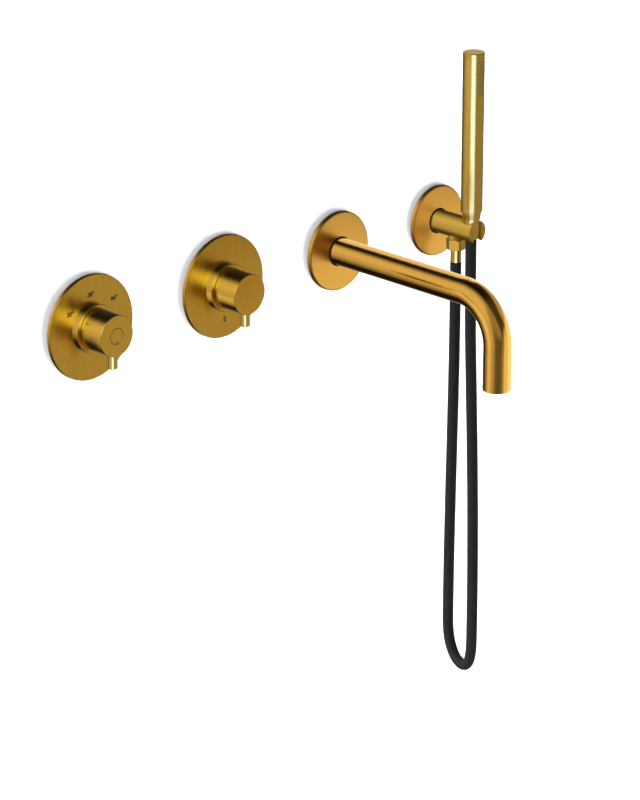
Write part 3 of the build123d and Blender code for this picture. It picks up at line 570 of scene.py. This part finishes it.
def trim_plate(name, node, x, bore, radius, front, recess):
    """Round plate against the wall: a flat front with a soft rim, and a shallow recess in its back."""
    fit(turned(name, soft_outline(
        [(bore, front), (radius, front), (radius, 0), (recess, 0), (recess, -2.5), (bore, -2.5)],
        [0.1, 1.5, 0.15, 0.1, 0.1, 0.1], True), x, 0, "Y", True, 200), node, "root", "satin_face")


spout = spout_skin("spout_body", filled_in(soft_outline(
    [(SPOUT_RADIUS, 0), (SPOUT_RADIUS, SPOUT_LINE), (SPOUT_BORE, SPOUT_LINE), (SPOUT_BORE, 0)],
    [0.3, 0.5, 0.4, 0.3], True), 2.4, True))
carve(spout, rod((SPOUT_X, -14, -12), (SPOUT_X, -14, -17), 2.5))
fit(spout, "spout_tube", "root")
trim_plate("spout_cover", "spout_plate", SPOUT_X, SPOUT_RADIUS, 44, SPOUT_PLATE_FRONT, 32)
fit(turned("aerator_ring", soft_outline(
    [(11.2, -96.5), (SPOUT_BORE, -96.5), (SPOUT_BORE, -85), (11.2, -85)], [0.8, 0.15, 0.15, 0.15], True),
    SPOUT_X, -SPOUT_REACH, "Z", True, 96), "aerator_housing", "root")


# ------------------------------------------------------------------ shower outlet and its arm

ARM_RADIUS, ARM_END = 13.0, -64.0
SHOWER_PLATE_FRONT = -4.5
SLOT_HALF = 6.8       # half the width of the slot that opens the cradle to the front

trim_plate("shower_cover", "shower_plate", SHOWER_X, ARM_RADIUS, 40, SHOWER_PLATE_FRONT, 29)

arm = turned("shower_arm", soft_outline(
    [(0, -0.5), (ARM_RADIUS, -0.5), (ARM_RADIUS, ARM_END), (0, ARM_END)], [0.2, 0.5], False),
    SHOWER_X, 0, "Y")
boss = turned("tool", soft_outline(
    [(0, -6), (9, -6), (9, -21.9), (0, -21.9)], [0.1, 0.3], False), SHOWER_X, OUTLET_Y, "Z", False, 96)
carve(arm, boss, "UNION")
cradle = turned("tool", np.array([(0, -15.5), (8.35, -15.5), (8.7, -7.5), (9.65, 14), (0, 14)]),
                SHOWER_X, CRADLE_Y, "Z", False, 96)
carve(arm, cradle)
carve(arm, block((SHOWER_X - SLOT_HALF, ARM_END - 2, -16), (SHOWER_X + SLOT_HALF, CRADLE_Y, 16)))
carve(arm, rod((SHOWER_X, -10, -10), (SHOWER_X, -10, -15), 2.5))
fit(arm, "holder_arm", "root", "arm_gold")


RING_RADIUS, RING_GAP = 0.8, 0.75     # the ring's own radius, and its centre's distance from the tube


def seal_and_shade_ring(name, x, inner, front):
    """Black rubber ring at the foot of a tube, which is also a dark line of painted shade where the tube
    meets the plate: a small circle carried round the tube's axis, half sunk in the plate's front."""
    c, sn = circle(20)
    outline = np.stack([inner + RING_GAP + RING_RADIUS * c, front + RING_RADIUS * sn], axis=1)
    ring = turned(name, outline, x, 0, "Y", True, 120)
    ring.data.materials.append(finishes["black_rubber"])
    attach(ring, "root")


# Black rings at the feet of the spout and the arm: rubber seals, and painted shade where tube and plate
# meet.
seal_and_shade_ring("spout_seal_and_shade", SPOUT_X, SPOUT_RADIUS, SPOUT_PLATE_FRONT)
seal_and_shade_ring("arm_seal", SHOWER_X, ARM_RADIUS, SHOWER_PLATE_FRONT)

NUT_CORNER = 11.1     # from the nut's axis to the hexagon's corners


def hex_nut(turns=192):
    """Hexagonal nut, its corners turned down. Its radius round the axis is the smaller of two: the
    hexagon's, which is the flat's distance over the cosine of the angle from the flat's middle, and the
    turned outline's."""
    outline = filled_in(soft_outline(
        [(6, -26.5), (9.4, -26.5), (11.3, -25.4), (11.3, -15.3), (9.4, -14.2), (9.02, -14.2), (9.02, -24),
         (6, -24)], 0.05, True), 0.25, True)
    angle = np.linspace(0, 2 * math.pi, turns, endpoint=False)
    flat = NUT_CORNER * math.cos(math.pi / 6)
    hexagon = flat / np.cos(angle % (math.pi / 3) - math.pi / 6)
    radius = np.minimum(outline[:, :1], hexagon)
    grid = np.stack([SHOWER_X + radius * np.cos(angle), OUTLET_Y + radius * np.sin(angle),
                     np.broadcast_to(outline[:, 1:], radius.shape)], axis=-1)
    return skin("wall_hose_nut", grid, True)


nut = fit(hex_nut(), "hose_nut", "root")
ferrule = fit(turned("wall_hose_sleeve", soft_outline(
    [(4, -41.5), (6, -41.5), (6, -24), (8.8, -24), (8.8, -22.9), (4, -22.9)],
    [0.1, 0.4, 0.1, 0.1, 0.1, 0.1], True),
    SHOWER_X, OUTLET_Y, "Z", True, 72), "hose_ferrule", "root")


# ------------------------------------------------------------------ hand shower

STICK_RADIUS, STICK_BORE = 12.0, 10.5
STICK_FOOT, STICK_TOP, CAP_TOP = 22.4, 198.0, 202.5

fit(turned("hose_cone_nut", soft_outline(
    [(4, -8.7), (7.9, -8.7), (8.35, -7.5), (9.3, 14), (10.6, 20.5), (10.6, 22), (6.55, 22), (6.55, 2),
     (4, 2)],
    [0.1, 0.3, 0.5, 0.5, 0.5, 0.3, 0.1, 0.1, 0.1], True), SHOWER_X, CRADLE_Y, "Z", True, 128),
    "hose_cone", "hose_end")
fit(turned("stick_body", soft_outline(
    [(STICK_RADIUS, STICK_FOOT), (STICK_RADIUS, STICK_TOP), (STICK_BORE, STICK_TOP),
     (STICK_BORE, STICK_FOOT)], [0.5, 0.2, 0.1, 0.2], True),
    SHOWER_X, CRADLE_Y, "Z", True, 128), "hand_shower_body", "hand_shower")
fit(turned("stick_cap", soft_outline(
    [(0, 196), (STICK_BORE, 196), (STICK_BORE, STICK_TOP), (STICK_RADIUS, STICK_TOP),
     (STICK_RADIUS, CAP_TOP), (0, CAP_TOP)], [0.1, 0.1, 0.2, 0.8], False),
    SHOWER_X, CRADLE_Y, "Z", False, 128), "hand_shower_cap", "hand_shower")

NOZZLE_ROWS, NOZZLE_LOW, NOZZLE_HIGH, NOZZLE_STEP = 13, 156.5, 193.0, math.radians(12.0)
NOZZLES_IN_ROW = 4                    # one fewer in every second row
STRIP_HALF, STRIP_POINTS = 0.76, 25   # half the strip's angle in radians, and the points along it
FRONT = -math.pi / 2                  # angle that points out into the room


def nozzle_strip():
    """Rubber strip behind the spray face with its nozzles. Each nozzle is a small outline turned round its
    own axis, which points out of the hand shower; rows of four and three take turns up the stick. The
    strip behind them is a rectangle in radius and height carried round part of a circle."""
    row = np.repeat(np.arange(NOZZLE_ROWS), NOZZLES_IN_ROW)
    place = np.tile(np.arange(NOZZLES_IN_ROW), NOZZLE_ROWS)
    keep = place < NOZZLES_IN_ROW - row % 2
    row, place = row[keep], place[keep]
    angle = (place - (NOZZLES_IN_ROW - 1 - row % 2) / 2) * NOZZLE_STEP + FRONT
    height = NOZZLE_LOW + row * (NOZZLE_HIGH - NOZZLE_LOW) / (NOZZLE_ROWS - 1)
    out = np.stack([np.cos(angle), np.sin(angle), 0 * angle], axis=-1)
    side = np.stack([-np.sin(angle), np.cos(angle), 0 * angle], axis=-1)
    outline = soft_outline([(0, 9.6), (0.74, 9.6), (0.74, 12.24), (0.3, 12.24), (0.3, 11.8), (0, 11.8)],
                           [0.1, 0.12, 0.05, 0.05], False)
    c, s = circle(16)
    rho, reach = outline[None, :, None, :1], outline[None, :, None, 1:]
    centre = np.array([SHOWER_X, CRADLE_Y, 0]) + height[:, None] * np.array([0, 0, 1.0])
    nozzles = (centre[:, None, None] + reach * out[:, None, None] + rho * c[None, None, :, None]
               * side[:, None, None] + rho * s[None, None, :, None] * np.array([0, 0, 1.0]))
    piece = skin("spray_nozzles", nozzles)
    section = filled_in(soft_outline([(9, 151.5), (10.45, 151.5), (10.45, 196), (9, 196)], 0.2, True),
                        4, True)
    turn = np.linspace(-STRIP_HALF, STRIP_HALF, STRIP_POINTS)[:, None] + FRONT
    radius, level = section[None, :, 0], np.broadcast_to(section[None, :, 1], (STRIP_POINTS, len(section)))
    strip = np.stack([SHOWER_X + radius * np.cos(turn), CRADLE_Y + radius * np.sin(turn), level], axis=-1)
    ends = strip[[0, -1]].mean(axis=1, keepdims=True) + 0 * strip[[0, -1]]
    back = skin("tool", np.concatenate([ends[:1], strip, ends[1:]]))
    work = bmesh.new()
    work.from_mesh(piece.data)
    work.from_mesh(back.data)
    work.to_mesh(piece.data)
    work.free()
    bpy.data.objects.remove(back)
    piece.data.set_sharp_from_angle(angle=SHARP_ANGLE)
    return piece


fit(nozzle_strip(), "nozzle_insert", "hand_shower")


# ------------------------------------------------------------------ CAD pieces that stay

# Spring, its joint, where its fixed end is along Y, and the joint's whole travel, in metres. Each spring is
# given a mesh of its own.
SPRINGS = (("button_spring", "safety_button_press", -0.0299, 0.003),
           ("thermostat_return_spring", "thermostat_regulate", 0.046, 0.00105))

for spring, joint, fixed_y, travel in SPRINGS:
    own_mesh(frame["nodes"][spring])

for node, piece in frame["nodes"].items():
    if not piece.hide_render:
        piece.data.materials.clear()
        piece.data.materials.append(finishes[slot_of[node]])
        piece.visible_glossy = node == "aerator_screen"


# ------------------------------------------------------------------ wall, floor and light

WALL_Y = 0.0003       # just behind the plates' backs, so that the two don't share a surface
FLOOR_Z = -1.2


def panel(name, corners, material):
    """Flat sheet of the set, unseen in reflections and casting no shadow."""
    mesh = bpy.data.meshes.new(name)
    mesh.from_pydata(corners, [], [(0, 1, 2, 3)])
    mesh.materials.append(material)
    sheet = bpy.data.objects.new(name, mesh)
    bpy.context.scene.collection.objects.link(sheet)
    sheet.visible_glossy = False
    sheet.visible_shadow = False


def white_wall():
    """White from the room's side, clear from behind, so that the pieces in the wall can be seen."""
    material = bpy.data.materials.new("white_wall")
    material.use_nodes = True
    n = Nodes(material.node_tree)
    white = n.add("ShaderNodeBsdfDiffuse", {"Color": (0.90, 0.90, 0.90, 1)})
    clear = n.add("ShaderNodeBsdfTransparent")
    behind = n.add("ShaderNodeNewGeometry")
    mix = n.add("ShaderNodeMixShader", links={0: behind.outputs["Backfacing"], 1: white.outputs[0],
                                              2: clear.outputs[0]})
    n.add("ShaderNodeOutputMaterial", links={"Surface": mix.outputs[0]})
    return material


panel("wall", [(-2.2, WALL_Y, FLOOR_Z), (2.0, WALL_Y, FLOOR_Z), (2.0, WALL_Y, 1.8), (-2.2, WALL_Y, 1.8)],
      white_wall())
panel("floor", [(-3, -3.5, FLOOR_Z), (3, -3.5, FLOOR_Z), (3, 1.5, FLOOR_Z), (-3, 1.5, FLOOR_Z)],
      finish_of("pale_floor", (0.80, 0.80, 0.79), PLAIN, 0.7, "object", even(14.0), 1e-5, 0.02, 0.03))


def group_of(name, pieces):
    """Collection of the named pieces, for a lamp to be linked to."""
    group = bpy.data.collections.new(name)
    for piece in pieces:
        group.objects.link(bpy.data.objects[piece])
    return group


def card(name, target, direction, distance, width, height, radiance, lights, up=(0, 0, 1),
         tint=(1, 1, 1), blockers=()):
    """Soft panel of light facing a target from a direction. Its power is its radiance times pi times its
    area. It lights only the named pieces, and only the blockers, if there are any, shade it."""
    towards = Vector(direction).normalized()
    across = Vector(up).cross(towards).normalized()
    data = bpy.data.lights.new(name, "AREA")
    data.shape, data.size, data.size_y = "RECTANGLE", width, height
    data.energy, data.color = radiance * math.pi * width * height, tint
    lamp = bpy.data.objects.new(name, data)
    turn = Matrix((across, towards.cross(across), towards)).transposed().to_4x4()
    lamp.matrix_world = Matrix.Translation(Vector(target) + towards * distance) @ turn
    lamp.visible_camera = False
    bpy.context.scene.collection.objects.link(lamp)
    lamp.light_linking.receiver_collection = group_of("lit_by_" + name, lights)
    if blockers:
        lamp.light_linking.blocker_collection = group_of("shading_" + name, blockers)


COVERS = ["thermostat_cover", "diverter_cover", "spout_cover", "shower_cover"]
TUBE_GROUP = ["spout_body", "aerator_ring", "aerator_screen"]
CONTROLS = ("thermostat", "diverter")
KNOB_GROUP = [start + end for start in CONTROLS for end in ("_collar", "_knob")]
CONTROL_GROUP = [start + "_cover" for start in CONTROLS] + KNOB_GROUP + ["button_face"]
SHINE_GROUP = ["stick_body", "stick_cap", "hose_cone_nut", "wall_hose_sleeve"]
PINS = ["thermostat_pin", "diverter_pin"]
SPOUT_SHADE = ["spout_body"]
PLATE_SHADE = ["thermostat_cover"]
TO_PLATE = (0.658, -0.667, -0.35)
TO_LEFT_FRONT = (-0.66, -0.66, -0.35)

# Each card: name, target, direction, distance, width, height, radiance, and the pieces that it lights.
card("wall_low", (-0.05, 0, -0.02), (0.80, -0.21, -0.57), 3.6, 2.6, 2.6, 32.0, ["wall"], blockers=COVERS)
card("wall_high", (-0.05, 0, -0.02), (-0.70, -0.30, 0.65), 3.6, 2.6, 2.6, 4.5, ["wall"],
     tint=(0.88, 0.92, 1.0), blockers=COVERS)
card("wall_front", (-0.05, 0, 0), (0.1, -1.0, 0.10), 2.4, 5.0, 5.0, 0.30, ["wall"],
     tint=(0.82, 0.85, 1.0), blockers=COVERS)
card("floor_top", (0, 0, FLOOR_Z), (0, 0, 1), 5.0, 14.0, 14.0, 1.25, ["floor"], up=(0, 1, 0),
     blockers=["floor"])

card("spout_back", (0, -0.12, 0), (0.66, 0.667, 0.35), 1.6, 1.2, 1.7, 0.95, TUBE_GROUP,
     up=(-0.47, 0, 0.88), blockers=SPOUT_SHADE)
card("spout_side", (0, -0.15, 0), (0.78, -0.55, -0.25), 1.2, 2.4, 1.2, 0.62, TUBE_GROUP)
card("spout_right", (0, -0.12, 0), (1, -0.15, 0.10), 0.9, 1.5, 1.3, 0.45, TUBE_GROUP, blockers=SPOUT_SHADE)
card("outlet_left", (0, -0.17, -0.05), (-0.85, 0.40, -0.35), 1.6, 0.9, 1.2, 0.40, TUBE_GROUP,
     blockers=SPOUT_SHADE)
for cover, plate in (("spout_cover", "spout_plate"), ("shower_cover", "shower_plate")):
    card(cover + "_low", middle(plate) + Vector((0, 0, -0.028)), TO_PLATE, 0.36, 0.17, 0.17, 0.85,
         [cover], blockers=SPOUT_SHADE)

card("control_side", (-0.26, 0, 0), TO_PLATE, 1.6, 1.0, 1.0, 0.13, CONTROL_GROUP)
card("under", (-0.1, -0.03, 0), (-0.60, 0.64, -0.52), 1.6, 0.8, 0.8, 0.55, KNOB_GROUP + ["shower_arm"],
     blockers=PLATE_SHADE)
card("knob_cool", (-0.26, -0.03, 0), (-0.62, -0.66, 0.38), 1.6, 1.5, 1.3, 6.2, KNOB_GROUP,
     tint=(0.18, 0.37, 1.0), blockers=PLATE_SHADE)

card("arm_top", (0.1, -0.03, 0), (-0.15, 0.66, 0.72), 1.2, 1.0, 0.9, 0.55, ["shower_arm"],
     blockers=["shower_arm"])
card("nut_side", (0.1, -0.03, 0), (-0.906, -0.236, -0.35), 1.5, 0.9, 0.9, 0.5, ["wall_hose_nut"])
card("cap_top", (0.1, -0.06, 0.2), (0.66, 0.66, 0.35), 1.2, 1.0, 1.0, 0.5, ["stick_cap"],
     blockers=["stick_body"])
card("shine", (0.1, -0.05, 0.1), TO_LEFT_FRONT, 2.0, 1.5, 1.5, 11.0, SHINE_GROUP,
     tint=(0.165, 0.250, 0.82))
card("stick_left", (0.155, -0.054, 0.11), (-0.88, 0.15, -0.35), 1.4, 0.8, 1.2, 0.16, ["stick_body"],
     blockers=["shower_cover"])
card("pin_shine", (-0.26, -0.05, 0), TO_LEFT_FRONT, 2.0, 1.5, 1.5, 2.6, PINS, tint=(0.62, 0.64, 0.80))

for name in COVERS:
    bpy.data.objects[name].visible_glossy = False


FULL_TURN = 360.0
ROOM_Y, BESIDE_Y = -0.55, -0.1        # directions' Y where the room's levels end and the wall's begin


def studio():
    """Surroundings of the set: white to the camera; to everything else, grey levels by direction. They
    depend on the angle round the wall's normal, 0 overhead and 90 on the left. Beside and behind the wall
    there is a bright light on the upper left and a dimmer one low on the right, with dark above and below.
    Out in the room there is a dim light on the upper left, and another from low on the right to below,
    with dark above. Directions in between mix the two."""
    world = bpy.data.worlds.new("studio")
    bpy.context.scene.world = world
    world.use_nodes = True
    n = Nodes(world.node_tree)
    way = n.add("ShaderNodeSeparateXYZ", links={"Vector": n.add("ShaderNodeTexCoord").outputs["Generated"]})
    left = n.add("ShaderNodeMath", {1: -1.0}, {0: way.outputs["X"]}, operation="MULTIPLY")
    around = n.add("ShaderNodeMath", links={0: left.outputs[0], 1: way.outputs["Z"]}, operation="ARCTAN2")
    share = n.add("ShaderNodeMapRange", {"From Min": -math.pi, "From Max": math.pi},
                  {"Value": around.outputs[0]})

    def by_angle(stops):
        """Grey level by the angle, eased between stops of (degrees, level)."""
        ramp = n.add("ShaderNodeValToRGB", links={"Fac": share.outputs["Result"]})
        ramp.color_ramp.interpolation = "EASE"
        for k, (degrees, level) in enumerate(stops):
            place = degrees / FULL_TURN + 0.5
            stop = ramp.color_ramp.elements[k] if k < 2 else ramp.color_ramp.elements.new(place)
            stop.position, stop.color = place, (level, level, level, 1)
        return ramp.outputs["Color"]

    behind = by_angle([(-168, 0.01), (-135, 0.30), (-100, 0.30), (-70, 0.04), (6, 0.005),
                       (46, 0.80), (66, 0.84), (98, 0.66), (128, 0.30), (150, 0.01)])
    ahead = by_angle([(-165, 0.34), (-135, 0.36), (-100, 0.36), (-70, 0.08), (12, 0.06),
                      (36, 0.34), (72, 0.34), (98, 0.14), (134, 0.14), (170, 0.34)])
    side = n.add("ShaderNodeMapRange", {"From Min": ROOM_Y, "From Max": BESIDE_Y},
                 {"Value": way.outputs["Y"]}, interpolation_type="SMOOTHSTEP")
    mixed = n.add("ShaderNodeMix", links={0: side.outputs["Result"], 6: ahead, 7: behind},
                  data_type="RGBA")
    lit = n.add("ShaderNodeBackground", links={"Color": mixed.outputs[2]})
    pale = n.add("ShaderNodeBackground", {"Color": (1, 1, 1, 1)})
    seen = n.add("ShaderNodeLightPath")
    both = n.add("ShaderNodeMixShader", links={0: seen.outputs["Is Camera Ray"], 1: lit.outputs[0],
                                               2: pale.outputs[0]})
    n.add("ShaderNodeOutputWorld", links={"Surface": both.outputs[0]})


studio()
bpy.context.scene.view_settings.view_transform = "Standard"
